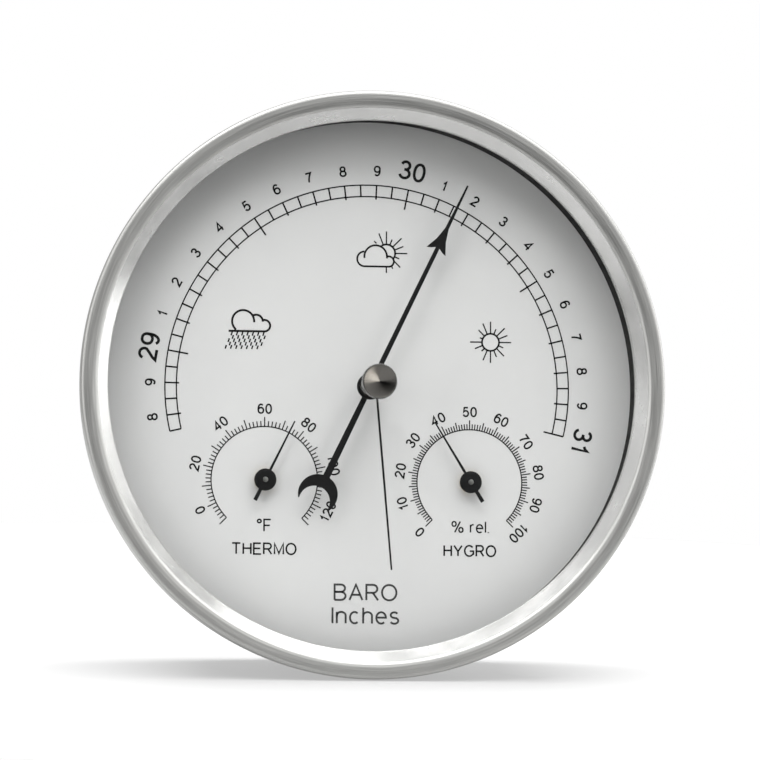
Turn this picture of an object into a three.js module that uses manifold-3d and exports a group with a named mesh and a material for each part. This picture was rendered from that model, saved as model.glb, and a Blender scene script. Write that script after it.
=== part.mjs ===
// A round wall barometer with a small thermometer and hygrometer in its dial.
// Millimetres. The instrument is built in its own frame, with +X to the right, +Y up the dial and
// +Z out of the wall, and the outer group stands it up: the wall face is the XZ plane, the dial
// faces -Y and +Z is up. The origin is on the dial's axis, in the plane of the wall.
import * as THREE from "three";
import { mergeVertices } from "three/addons/utils/BufferGeometryUtils.js";
import Module from "manifold-3d";

const wasm = await Module();
wasm.setup();

// ---------------------------------------------------------------- driving dimensions

const GAP = 0.3; // left between pieces that touch
const ROUND = 48; // facets of the large round pieces
const SMALL = 12; // facets of pins and small tubes
const TAU = 2 * Math.PI;

const BEZEL_R = 66;
const BEZEL_MOUTH_R = 59.6;
const BEZEL_TUCK_Z = 28.6; // rear face of the bezel's crimped edge
const CASE_R = 61;
const CASE_WALL = 0.8;
const CASE_REAR_Z = 1.6;
const CASE_CORNER_R = 5;
const FLANGE_Z = 29.8; // rear face of the case's front flange
const FLANGE_R = 63.6;
const FLANGE_TOP_Z = 40.6;

const DIAL_Z = 31.5; // front face of the dial
const DIAL_T = 0.6;
const SEAT_R = FLANGE_R - CASE_WALL - GAP; // dial, spacer and glass all drop into the flange
const SPACER_MOUTH_R = 60.2;
const GLASS_Z = 38.3;
const GLASS_T = 1.5;
const GLASS_HOLE_R = 2;

const COVER_R = 51.7;
const COVER_T = 2;
const COVER_FLANGE_R = 57;
const COVER_FLANGE_Z = CASE_REAR_Z + CASE_WALL + GAP;
const COVER_TOP_Z = 4.7;
const COVER_SCREW_R = 54.4; // pitch radius
const BOSS_TOP_Z = 6;
const BOSS_PITCH_R = 24;

const KEYHOLE = { y: 36.9, headR: 4.5, slotW: 4.6, slotEndY: 45.5, pocketTopZ: 7.5 };
const ADJUSTER_X = -23;

const BASE_Z = BOSS_TOP_Z + GAP;
const BASE_T = 1.2;
const BASE_R = 30.5;
const FLOOR_Z = BASE_Z + BASE_T + GAP; // what stands on the base plate starts here

const CAPSULE_R = 16;
const CAPSULE_MID_Z = 11.6;
const CAPSULE_SKIN = 0.35;
const SPRING_T = 0.8;
const SPRING_W = 8;
const SPRING_BEND_X = -22;
const SPRING_TOP_Z = 19;
const LINK_X = 20;
const LINK_Y = 2.5;
const LEVER_PIN_Z = 18.4;
const SHAFT_X = 24;
const SHAFT_Z = 12;
const CHAIN_Z = 26;
const CHAIN_Y = -0.7; // the chain's pitch radius on its drum

const BRIDGE_Z = 22.3;
const BRIDGE_T = 1;
const PILLAR_Y = 19;
const COCK_Z = 29.2;
const COCK_FOOT_Y = 9.3;

const POINTER_Z = 35.3;
const POINTER_T = 0.4;
const POINTER_ANGLE = 64.25; // degrees from +X, read off the pressure scale at 30.14 inches
const SET_HAND_Z = 36.6;
const SET_HAND_ANGLE = -84.9;
const KNOB_TOP_Z = 51.2;
const KNOB_R = 4;

const SUB_X = 23.36; // the two small instruments, left and right of the axis
const SUB_Y = -21.15;
const SUB_HAND_Z = 33.2;
const THERMO = { side: -1, angle: 63.5, reach: 14.8 }; // the hand stands at 74 degrees F
const HYGRO = { side: 1, angle: 121.6, reach: 15.6 }; // the hand stands at 38 percent

// ---------------------------------------------------------------- finishes

const FINISHES = {
  brushed: [0xb9b9b6, 0.35, 1],
  satin: [0xd9d9d8, 0.5, 0.6],
  black: [0x141414, 0.55, 0],
  blackMetal: [0x111111, 0.45, 0.6],
  darkChrome: [0x55534e, 0.18, 1],
  clear: [0xf4f8f8, 0.05, 0],
  rubber: [0x1b1b1b, 0.9, 0],
  brass: [0xb08d4a, 0.35, 1],
  steel: [0x9c9ea0, 0.4, 1],
  blueSteel: [0x3c4a63, 0.35, 1],
  nickel: [0xc4c2ba, 0.3, 1],
  copper: [0xa8763f, 0.4, 1],
  strip: [0xcfc6ac, 0.6, 0.2],
};

function finish(name) {
  const [color, roughness, metalness] = FINISHES[name];
  const glassy = name === "clear";
  return new THREE.MeshStandardMaterial({
    color,
    roughness,
    metalness,
    transparent: glassy,
    opacity: glassy ? 0.25 : 1,
  });
}

const instrument = new THREE.Group();

function add(name, geometry, finishName, parent = instrument) {
  const mesh = new THREE.Mesh(geometry, finish(finishName));
  mesh.name = name;
  parent.add(mesh);
  return mesh;
}

// ---------------------------------------------------------------- shape helpers

const radians = THREE.MathUtils.degToRad;

// A solid of revolution about +Z from a closed outline of [radius, z] points.
function turned(outline, facets = ROUND) {
  const twiceArea = outline.reduce((sum, [r, z], i) => {
    const [nextR, nextZ] = outline[(i + 1) % outline.length];
    return sum + r * nextZ - nextR * z;
  }, 0);
  const points = outline.map(([r, z]) => new THREE.Vector2(r, z));
  if (twiceArea < 0) points.reverse();
  if (!outline.some(([r]) => r === 0)) points.push(points[0].clone());
  return new THREE.LatheGeometry(points, facets).rotateX(Math.PI / 2);
}

function rod(radius, lowZ, highZ, facets = SMALL) {
  const outline = [
    [0, lowZ],
    [radius, lowZ],
    [radius, highZ],
    [0, highZ],
  ];
  return turned(outline, facets);
}

function tube(innerR, outerR, lowZ, highZ, facets = SMALL) {
  const outline = [
    [innerR, lowZ],
    [outerR, lowZ],
    [outerR, highZ],
    [innerR, highZ],
  ];
  return turned(outline, facets);
}

function block([x0, x1], [y0, y1], [z0, z1]) {
  const box = new THREE.BoxGeometry(x1 - x0, y1 - y0, z1 - z0);
  return box.translate((x0 + x1) / 2, (y0 + y1) / 2, (z0 + z1) / 2);
}

// A flat piece from an outline in the XY plane.
function plate(shape, lowZ, thickness) {
  const options = { depth: thickness, bevelEnabled: false };
  return new THREE.ExtrudeGeometry(shape, options).translate(0, 0, lowZ);
}

function polygon(points) {
  return new THREE.Shape(points.map(([x, y]) => new THREE.Vector2(x, y)));
}

// A bent strip: its outline lies in the XZ plane and it is as wide as asked along Y.
function bentStrip(points, width) {
  const flat = plate(polygon(points), -width / 2, width);
  return flat.rotateX(Math.PI / 2);
}

// A rod along Y.
function crossRod(radius, x, z, [y0, y1], facets = SMALL) {
  return rod(radius, y0, y1, facets).rotateX(-Math.PI / 2).translate(x, 0, z);
}

function solidOf(geometry) {
  const bare = geometry.clone();
  bare.deleteAttribute("normal");
  bare.deleteAttribute("uv");
  const merged = mergeVertices(bare, 1e-4);
  const mesh = new wasm.Mesh({
    numProp: 3,
    vertProperties: merged.getAttribute("position").array,
    triVerts: new Uint32Array(merged.index.array),
  });
  return new wasm.Manifold(mesh);
}

function geometryOf(solid) {
  const mesh = solid.getMesh();
  const position = new THREE.BufferAttribute(mesh.vertProperties, 3);
  const geometry = new THREE.BufferGeometry().setAttribute("position", position);
  geometry.setIndex(new THREE.BufferAttribute(mesh.triVerts, 1));
  geometry.computeVertexNormals();
  return geometry;
}

function joined(pieces) {
  return geometryOf(pieces.map(solidOf).reduce((whole, piece) => whole.add(piece)));
}

function cutBy(geometry, tools) {
  const start = solidOf(geometry);
  return geometryOf(tools.map(solidOf).reduce((rest, tool) => rest.subtract(tool), start));
}

function around(count, radius, firstDegrees) {
  return Array.from({ length: count }, (_, i) => {
    const angle = radians(firstDegrees) + (TAU * i) / count;
    return [radius * Math.cos(angle), radius * Math.sin(angle)];
  });
}

// A flat spiral strip standing on edge, wound out from innerR and ending at endDegrees.
function spiral({ innerR, outerR, turns, endDegrees, thickness, lowZ, height, perTurn }) {
  const steps = turns * perTurn;
  const edge = (offset) =>
    Array.from({ length: steps + 1 }, (_, i) => {
      const r = innerR + ((outerR - innerR) * i) / steps + offset;
      const angle = radians(endDegrees) - (TAU * (steps - i)) / perTurn;
      return [r * Math.cos(angle), r * Math.sin(angle)];
    });
  const outline = [...edge(-thickness / 2), ...edge(thickness / 2).reverse()];
  return plate(polygon(outline), lowZ, height);
}

// A slotted screw along Z. Its head is at headZ and its shank runs from there to tipZ.
function screw({ headR, headT, shankR, headZ, tipZ }) {
  const outward = Math.sign(headZ - tipZ);
  const headEnd = headZ + outward * headT;
  const outline = [
    [0, headEnd],
    [headR, headEnd],
    [headR, headZ],
    [shankR, headZ],
    [shankR, tipZ],
    [0, tipZ],
  ];
  const depths = [headEnd - outward * headT * 0.4, headEnd + outward].sort((a, b) => a - b);
  const slot = block([-headR - 1, headR + 1], [-headR * 0.13, headR * 0.13], depths);
  return cutBy(turned(outline, 10), [slot]);
}

function arcPoints(centreR, centreZ, radius, fromDegrees, toDegrees, steps) {
  return Array.from({ length: steps + 1 }, (_, i) => {
    const angle = radians(fromDegrees + ((toDegrees - fromDegrees) * i) / steps);
    return [centreR + radius * Math.cos(angle), centreZ + radius * Math.sin(angle)];
  });
}

// The range a piece spans on one side of the middle, in rising order.
function sided(side, near, far) {
  return [side * near, side * far].sort((a, b) => a - b);
}

const COVER_SCREWS = around(3, COVER_SCREW_R, 30);
const BOSSES = around(4, BOSS_PITCH_R, 45);
const SPRING_SCREWS = [-2.2, 2.2].map((y) => [-19, y]);

// ---------------------------------------------------------------- housing

// The spun bezel: a conical chamfer round the glass, a flattened roll, and a skirt whose rear edge
// is crimped under the case's flange.
function bezel() {
  const chamfer = 2.5;
  const mouthZ = 40.7;
  const rollFoot = [BEZEL_MOUTH_R + chamfer, mouthZ + chamfer];
  const outline = [
    [BEZEL_MOUTH_R, 40.1],
    [BEZEL_MOUTH_R, mouthZ],
    rollFoot,
    [62.8, 43.75],
    [64.2, 43.98],
    [65.2, 43.78],
    [65.8, 43.1],
    [BEZEL_R, 41.6],
    [65.2, 31],
    [64, BEZEL_TUCK_Z],
    [CASE_R + 0.4, BEZEL_TUCK_Z],
    [CASE_R + 0.4, FLANGE_Z - GAP],
    [63.6, FLANGE_Z - GAP],
    [64.2, 31],
    [64.9, 41.6],
    [63.4, 43],
    [60.6, 40.1],
  ];
  return turned(outline);
}

// The drawn steel case: an open-backed drum with a flange in front and a lip behind.
function caseShell() {
  const lipR = COVER_R + GAP;
  const cornerR = CASE_R - CASE_CORNER_R;
  const cornerZ = CASE_REAR_Z + CASE_CORNER_R;
  const wallR = CASE_R - CASE_WALL;
  const shelfZ = FLANGE_Z + CASE_WALL;
  const outline = [
    [lipR, CASE_REAR_Z],
    ...arcPoints(cornerR, cornerZ, CASE_CORNER_R, -90, 0, 3),
    [CASE_R, FLANGE_Z],
    [FLANGE_R, FLANGE_Z],
    [FLANGE_R, FLANGE_TOP_Z],
    [FLANGE_R - CASE_WALL, FLANGE_TOP_Z],
    [FLANGE_R - CASE_WALL, shelfZ],
    [wallR, shelfZ],
    ...arcPoints(cornerR, cornerZ, CASE_CORNER_R - CASE_WALL, 0, -90, 3),
    [lipR, CASE_REAR_Z + CASE_WALL],
  ];
  const holes = COVER_SCREWS.map(([x, y]) => rod(1.1, 0, COVER_TOP_Z, 10).translate(x, y, 0));
  return cutBy(turned(outline), holes);
}

// A keyhole as a cutter: a round way in for a screw's head, and a slot above it for its shank.
function keyholeCutter() {
  const { y, headR, slotW, slotEndY } = KEYHOLE;
  const slot = block([-slotW / 2, slotW / 2], [y, slotEndY - slotW / 2], [-1, COVER_T + 1]);
  const slotEnd = rod(slotW / 2, -1, COVER_T + 1).translate(0, slotEndY - slotW / 2, 0);
  const head = rod(headR, -1, COVER_T + 1, 16).translate(0, y, 0);
  return joined([head, slot, slotEnd]);
}

// The moulded back: a shallow dish with a flange inside the case, bosses for the movement,
// a keyhole with a closed pocket behind it, a hole for the adjusting screw and seven air slots.
function backCover() {
  const dish = turned([
    [0, 0],
    [COVER_R, 0],
    [COVER_R, COVER_FLANGE_Z],
    [COVER_FLANGE_R, COVER_FLANGE_Z],
    [COVER_FLANGE_R, COVER_TOP_Z],
    [COVER_R - COVER_T, COVER_TOP_Z],
    [COVER_R - COVER_T, COVER_T],
    [0, COVER_T],
  ]);
  const bosses = BOSSES.map(([x, y]) => rod(3.2, COVER_T / 2, BOSS_TOP_Z).translate(x, y, 0));
  const { y, headR, slotEndY, pocketTopZ } = KEYHOLE;
  const wall = 1.5;
  const pocketX = [-headR - 0.5, headR + 0.5];
  const pocketY = [y - headR - 0.4, slotEndY + 1];
  const grow = ([low, high]) => [low - wall, high + wall];
  const pocket = block(grow(pocketX), [pocketY[0], pocketY[1] + wall], [1, pocketTopZ + wall]);
  const pocketHollow = block(pocketX, [pocketY[0] + wall, pocketY[1]], [COVER_T, pocketTopZ]);
  const slots = Array.from({ length: 7 }, (_, i) => {
    const x = (i - 3) * 4;
    return block([x - 0.9, x + 0.9], [-44, -34], [-1, COVER_T + 1]);
  });
  const cutters = [
    ...BOSSES.map(([x, y]) => rod(1.3, -1, BOSS_TOP_Z + 1, 12).translate(x, y, 0)),
    ...BOSSES.map(([x, y]) => rod(2.9, -1, 1.2, 12).translate(x, y, 0)),
    ...COVER_SCREWS.map(([x, y]) => rod(1.1, 0, COVER_TOP_Z + 1, 10).translate(x, y, 0)),
    keyholeCutter(),
    pocketHollow,
    rod(3.3, -1, COVER_T + 1).translate(ADJUSTER_X, 0, 0),
    ...slots,
  ];
  return cutBy(joined([dish, ...bosses, pocket]), cutters);
}

function buildHousing() {
  add("bezel", bezel(), "brushed");
  add("case_shell", caseShell(), "brushed");
  add("back_cover", backCover(), "black");
  const glassTop = GLASS_Z + GLASS_T;
  add("glass", tube(GLASS_HOLE_R, SEAT_R, GLASS_Z, glassTop, ROUND), "clear");
  const gasketTop = glassTop + GAP + 0.7;
  add("glass_gasket", tube(61.4, SEAT_R, glassTop + GAP, gasketTop, ROUND), "rubber");
  const spacer = tube(SPACER_MOUTH_R, SEAT_R, DIAL_Z + GAP, GLASS_Z - GAP, ROUND);
  add("spacer_ring", spacer, "black");
  const dialHoles = [
    rod(1.5, DIAL_Z - 2, DIAL_Z + 1),
    ...[-SUB_X, SUB_X].map((x) => rod(2, DIAL_Z - 2, DIAL_Z + 1).translate(x, SUB_Y, 0)),
  ];
  add("dial_plate", cutBy(rod(SEAT_R, DIAL_Z - DIAL_T, DIAL_Z, ROUND), dialHoles), "satin");
  const coverScrew = { headR: 1.7, headT: 1, shankR: 0.8, headZ: 1.3, tipZ: 4.5 };
  COVER_SCREWS.forEach(([x, y], i) => {
    add(`cover_screw_${i + 1}`, screw(coverScrew), "steel").position.set(x, y, 0);
  });
  const movementScrew = { headR: 2.5, headT: 0.7, shankR: 0.9, headZ: 0.9, tipZ: 8.4 };
  BOSSES.forEach(([x, y], i) => {
    add(`movement_screw_${i + 1}`, screw(movementScrew), "steel").position.set(x, y, 0);
  });
}

// ---------------------------------------------------------------- set hand and its knob

function settingKnob() {
  const neckR = 2.3;
  const headT = 2.2;
  const boreR = 1.5;
  const boreTopZ = 48;
  return turned(
    [
      [0, boreTopZ],
      [boreR, boreTopZ],
      [boreR, 41.8],
      [neckR, 41.8],
      [neckR, KNOB_TOP_Z - headT - 1],
      [3.5, KNOB_TOP_Z - headT - 0.1],
      [KNOB_R, KNOB_TOP_Z - headT + 0.2],
      [KNOB_R, KNOB_TOP_Z - 0.35],
      [KNOB_R - 0.35, KNOB_TOP_Z],
      [0, KNOB_TOP_Z - 0.6],
    ],
    20,
  );
}

// The set hand's needle lies beside its hub's centre, as on a bent wire hand.
function setHand() {
  const needle = block([1.5, 41.6], [0.9, 1.35], [SET_HAND_Z, SET_HAND_Z + 0.3]);
  return joined([needle, tube(1.5, 2.4, SET_HAND_Z - 0.2, SET_HAND_Z + 0.5)]);
}

function buildSetHand() {
  const glassTop = GLASS_Z + GLASS_T;
  const nutTop = GLASS_Z - GAP;
  const barrelR = GLASS_HOLE_R - GAP;
  const bushing = [
    tube(1.5, barrelR, nutTop - 0.6, glassTop + 0.5),
    tube(1.5, 2.7, glassTop + GAP, glassTop + GAP + 0.8),
  ];
  add("glass_bushing", joined(bushing), "darkChrome");
  add("bushing_nut", tube(GLASS_HOLE_R, 2.7, nutTop - 0.6, nutTop, 6), "darkChrome");
  add("spring_washer", tube(1.5, 2.6, glassTop + 1.4, glassTop + 1.7), "darkChrome");
  add("setting_spindle", rod(1.2, SET_HAND_Z - GAP, 47.7), "brass");
  add("setting_knob", settingKnob(), "darkChrome");
  add("set_hand", setHand(), "blackMetal").rotation.z = radians(SET_HAND_ANGLE);
}

// ---------------------------------------------------------------- barometer movement

// One stamped half of the capsule, as heights above the seam.
function diaphragmOutline(studHeight) {
  const bossR = 4;
  const bossHeight = 3;
  const waves = 2;
  const steps = waves * 2;
  const corrugations = Array.from({ length: steps + 1 }, (_, i) => {
    const crest = i % 2 ? -0.35 : 0.35;
    return [bossR + 1 + (i * 9.2) / steps, 2.55 + crest];
  });
  const outside = [
    [bossR, bossHeight],
    ...corrugations,
    [CAPSULE_R - 1, 0.35],
    [CAPSULE_R, 0.35],
  ];
  const inside = outside.map(([r, h]) => [r, Math.max(0, h - CAPSULE_SKIN)]).reverse();
  const stud = [
    [0, studHeight],
    [2, studHeight],
    [2, bossHeight],
  ];
  return [...stud, ...outside, ...inside, [0, bossHeight - CAPSULE_SKIN]];
}

function capsuleHalf(direction, studHeight) {
  const seam = CAPSULE_MID_Z + (direction * GAP) / 2;
  return turned(
    diaphragmOutline(studHeight).map(([r, h]) => [r, seam + direction * h]),
    24,
  );
}

// The C-shaped leaf spring that holds the capsule open.
function mainSpring() {
  const lowMid = FLOOR_Z + SPRING_T / 2;
  const highMid = SPRING_TOP_Z - SPRING_T / 2;
  const bendR = (highMid - lowMid) / 2;
  const bendZ = (highMid + lowMid) / 2;
  const face = (offset) => [
    [-CAPSULE_R - 0.7, lowMid - offset],
    ...arcPoints(SPRING_BEND_X, bendZ, bendR + offset, -90, -270, 10),
    [6, highMid + offset],
  ];
  const half = SPRING_T / 2;
  const strip = bentStrip([...face(half), ...face(-half).reverse()], SPRING_W);
  const screwHoles = SPRING_SCREWS.map(([x, y]) => rod(1.1, 0, 10, 10).translate(x, y, 0));
  return cutBy(strip, [rod(1.6, 15, 22), ...screwHoles]);
}

// The arm on the spring's free end. Its ear holds the link's upper pin.
function leverArm() {
  const outline = polygon([
    [3, -3],
    [8, -3],
    [LINK_X - 1.1, LINK_Y - 1.2],
    [LINK_X + 1.1, LINK_Y - 1.2],
    [LINK_X + 1.1, LINK_Y + 0.5],
    [LINK_X - 1.1, LINK_Y + 0.5],
    [8, 3],
    [3, 3],
  ]);
  const arm = plate(outline, SPRING_TOP_Z + GAP, 0.8);
  const earX = [LINK_X - 1.1, LINK_X + 1.1];
  const earY = [LINK_Y - 0.5, LINK_Y + 0.5];
  const ear = block(earX, earY, [LEVER_PIN_Z - 1.1, SPRING_TOP_Z + GAP + 0.4]);
  return cutBy(joined([arm, ear]), [crossRod(0.8, LINK_X, LEVER_PIN_Z, [0, 5], 10)]);
}

// The link between the lever's ear and the rocking shaft's short arm, with its two pins.
function linkRod() {
  const sideY = [LINK_Y + 0.8, LINK_Y + 1.3];
  const pinY = [LINK_Y - 0.8, LINK_Y + 1];
  const strip = block([LINK_X - 0.7, LINK_X + 0.7], sideY, [SHAFT_Z, LEVER_PIN_Z]);
  const ends = [SHAFT_Z, LEVER_PIN_Z].flatMap((z) => [
    crossRod(1, LINK_X, z, sideY, 10),
    crossRod(0.45, LINK_X, z, pinY, 8),
  ]);
  return joined([strip, ...ends]);
}

function rockingShaft() {
  const shaft = joined([
    crossRod(0.9, SHAFT_X, SHAFT_Z, [-12.9, 12.9], 12),
    crossRod(0.55, SHAFT_X, SHAFT_Z, [-14.1, 14.1], 12),
    block([LINK_X - 1, SHAFT_X], [LINK_Y - 0.5, LINK_Y + 0.5], [SHAFT_Z - 0.9, SHAFT_Z + 0.9]),
  ]);
  return cutBy(shaft, [crossRod(0.75, LINK_X, SHAFT_Z, [0, 5], 10)]);
}

// The long arm that pulls the chain, clamped on the rocking shaft by its collar.
function chainArm() {
  const sideY = [CHAIN_Y - 0.8, CHAIN_Y + 0.8];
  const bar = block([SHAFT_X - 0.6, SHAFT_X + 0.6], sideY, [SHAFT_Z + 1.6, CHAIN_Z + 0.8]);
  const collar = crossRod(2.3, SHAFT_X, SHAFT_Z, [CHAIN_Y - 1, CHAIN_Y + 1], 14);
  return cutBy(joined([bar, collar]), [crossRod(1.2, SHAFT_X, SHAFT_Z, [-4, 4], 12)]);
}

// One of the two ears that carry the rocking shaft's pivots, with its foot on the base plate.
function shaftBracket(side) {
  const x = [SHAFT_X - 2.5, SHAFT_X + 2.5];
  const ear = block(x, sided(side, 13.2, 14.4), [FLOOR_Z, SHAFT_Z + 2.3]);
  const foot = block(x, sided(side, 9.8, 13.4), [FLOOR_Z, FLOOR_Z + 1]);
  const hole = crossRod(0.85, SHAFT_X, SHAFT_Z, sided(side, 12, 16), 12);
  return cutBy(joined([ear, foot]), [hole]);
}

function movementBase() {
  const holes = [
    ...BOSSES.map(([x, y]) => rod(1.2, 5, 9, 12).translate(x, y, 0)),
    ...SPRING_SCREWS.map(([x, y]) => rod(1.1, 5, 9, 10).translate(x, y, 0)),
    rod(2, 5, 9).translate(ADJUSTER_X, 0, 0),
  ];
  return cutBy(rod(BASE_R, BASE_Z, BASE_Z + BASE_T, 32), holes);
}

// The bridge over the capsule, and the cock above it: the pointer's arbor turns in both.
function arborBridge() {
  const strip = block([-3.5, 3.5], [-21.5, 21.5], [BRIDGE_Z, BRIDGE_Z + BRIDGE_T]);
  const holes = [-PILLAR_Y, -COCK_FOOT_Y, 0, COCK_FOOT_Y, PILLAR_Y].map((y) =>
    rod(Math.abs(y) === PILLAR_Y ? 1.1 : 0.9, 21, 25, 10).translate(0, y, 0),
  );
  return cutBy(strip, holes);
}

function arborCock() {
  const footZ = BRIDGE_Z + BRIDGE_T + GAP;
  const footTop = footZ + 0.8;
  const top = COCK_Z + 0.8;
  const legs = [-1, 1].flatMap((side) => [
    block([-2.5, 2.5], sided(side, 6.7, 11.2), [footZ, footTop]),
    block([-2.5, 2.5], sided(side, 6.7, 7.5), [footZ, top]),
  ]);
  const roof = block([-2.5, 2.5], [-7.5, 7.5], [COCK_Z, top]);
  const holes = [-COCK_FOOT_Y, 0, COCK_FOOT_Y].map((y) => rod(0.9, 21, 32, 10).translate(0, y, 0));
  return cutBy(joined([roof, ...legs]), holes);
}

// The pointer's arbor, with the chain's drum between two flanges and the hairspring's collet.
function pointerArbor() {
  return turned(
    [
      [0, 21.7],
      [0.6, 21.7],
      [0.6, CHAIN_Z - 1.4],
      [1.1, CHAIN_Z - 1.4],
      [1.1, CHAIN_Z - 1],
      [0.42, CHAIN_Z - 1],
      [0.42, CHAIN_Z + 1],
      [1.2, CHAIN_Z + 1],
      [1.2, COCK_Z - 0.5],
      [0.6, COCK_Z - 0.5],
      [0.6, POINTER_Z + 0.7],
      [0, POINTER_Z + 0.7],
    ],
    14,
  );
}

// The pointer along +X: a thin point, a barbed arrowhead, a tapered shaft, a tail and a crescent.
function pointer() {
  const blade = new THREE.Shape();
  const upper = [
    [50.1, 0.2],
    [40, 0.35],
    [37, 1.15],
    [34.2, 2.4],
    [35.1, 0.45],
    [0, 0.6],
    [-22.9, 0.8],
  ];
  blade.setFromPoints([
    ...upper.map(([x, y]) => new THREE.Vector2(x, y)),
    ...upper.reverse().map(([x, y]) => new THREE.Vector2(x, -y)),
  ]);
  const bladeSolid = plate(blade, POINTER_Z, POINTER_T);
  const moon = rod(4.5, POINTER_Z, POINTER_Z + POINTER_T, 20).translate(-27.1, 0, 0);
  const bite = rod(3.53, POINTER_Z - 1, POINTER_Z + 2, 18).translate(-28.93, 0, 0);
  const beyond = block([-36, -29.7], [-6, 6], [POINTER_Z - 1, POINTER_Z + 2]);
  const crescent = cutBy(moon, [bite, beyond]);
  const hub = rod(3, POINTER_Z - 0.2, POINTER_Z + POINTER_T + 0.2, 16);
  return cutBy(joined([bladeSolid, crescent, hub]), [rod(0.9, POINTER_Z - 1, POINTER_Z + 2, 12)]);
}

function buildMovement() {
  add("movement_base", movementBase(), "brass");
  add("capsule_lower", capsuleHalf(-1, CAPSULE_MID_Z - GAP / 2 - FLOOR_Z), "nickel");
  add("capsule_upper", capsuleHalf(1, 3), "nickel");
  add("capsule_post", rod(1.1, CAPSULE_MID_Z + 3.45, 20.3, 12), "steel");
  add("spring_key", tube(1.4, 2.6, SPRING_TOP_Z + GAP, SPRING_TOP_Z + 1, 12), "brass");
  add("main_spring", mainSpring(), "blueSteel");
  add("lever_arm", leverArm(), "steel");
  add("link_rod", linkRod(), "steel");
  add("rocking_shaft", rockingShaft(), "steel");
  add("chain_arm", chainArm(), "brass");
  [-1, 1].forEach((side, i) => {
    add(`shaft_bracket_${i + 1}`, shaftBracket(side), "brass");
    const pillar = turned(
      [
        [0, FLOOR_Z],
        [1.8, FLOOR_Z],
        [1.8, BRIDGE_Z - GAP],
        [1.1, BRIDGE_Z - GAP],
        [1.1, 18],
        [0, 18],
      ],
      12,
    );
    add(`bridge_pillar_${i + 1}`, pillar, "brass").position.y = side * PILLAR_Y;
    const bridgeScrew = { headR: 2, headT: 0.8, shankR: 0.8, headZ: 23.6, tipZ: 18.3 };
    add(`bridge_screw_${i + 1}`, screw(bridgeScrew), "steel").position.y = side * PILLAR_Y;
    const cockScrew = { headR: 1.5, headT: 0.7, shankR: 0.6, headZ: 24.7, tipZ: 22.2 };
    add(`cock_screw_${i + 1}`, screw(cockScrew), "steel").position.y = side * COCK_FOOT_Y;
  });
  SPRING_SCREWS.forEach(([x, y], i) => {
    const springScrew = { headR: 1.7, headT: 0.8, shankR: 0.8, headZ: 8.9, tipZ: 5.8 };
    add(`spring_screw_${i + 1}`, screw(springScrew), "steel").position.set(x, y, 0);
  });
  const adjuster = { headR: 1.7, headT: 2.6, shankR: 1.55, headZ: 6, tipZ: 7.4 };
  add("adjusting_screw", screw(adjuster), "brass").position.x = ADJUSTER_X;
  add("arbor_bridge", arborBridge(), "brass");
  add("arbor_cock", arborCock(), "brass");
  const chainSpan = [-0.2, SHAFT_X - 0.9];
  const chainDepth = [CHAIN_Y - 0.15, CHAIN_Y + 0.15];
  add("chain", block(chainSpan, chainDepth, [CHAIN_Z - 0.3, CHAIN_Z + 0.3]), "steel");
  const hairspring = spiral({
    innerR: 1.75,
    outerR: 5.2,
    turns: 4,
    endDegrees: 90,
    thickness: 0.2,
    lowZ: 27.5,
    height: 0.6,
    perTurn: 10,
  });
  add("hairspring", hairspring, "blueSteel");
  add("hairspring_stud", block([-0.6, 0.6], [5.6, 6.4], [27.3, COCK_Z - GAP]), "brass");
  add("pointer_arbor", pointerArbor(), "steel");
  add("pointer", pointer(), "blackMetal").rotation.z = radians(POINTER_ANGLE);
}

// ---------------------------------------------------------------- thermometer and hygrometer

// A C-shaped bracket under the dial: the arbor's rear bearing is in its lower leaf, and the outer
// end of the coil is held at its spine.
function coilBracket() {
  const topZ = DIAL_Z - DIAL_T - GAP;
  const leaf = 0.6;
  const spineX = -9.5;
  const lowZ = 21.6;
  const profile = [
    [spineX, lowZ],
    [3, lowZ],
    [3, lowZ + leaf],
    [spineX + leaf, lowZ + leaf],
    [spineX + leaf, topZ - leaf],
    [9.5, topZ - leaf],
    [9.5, topZ],
    [spineX, topZ],
  ];
  const holes = [rod(0.9, 20, 24, 12), rod(2, 28, 32, 14)];
  return cutBy(bentStrip(profile, 8), holes);
}

// A small hand along +X, with its hub and a blunt tail.
function smallHand(reach) {
  const needle = polygon([
    [reach, -0.13],
    [reach, 0.13],
    [2, 0.3],
    [2, 0.4],
    [-5.2, 0.45],
    [-5.2, -0.45],
    [2, -0.4],
    [2, -0.3],
  ]);
  const hub = rod(2.5, SUB_HAND_Z - 0.2, SUB_HAND_Z + 0.5, 20);
  const hand = joined([plate(needle, SUB_HAND_Z, 0.3), hub]);
  return cutBy(hand, [rod(0.9, SUB_HAND_Z - 1, SUB_HAND_Z + 1, 12)]);
}

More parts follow.
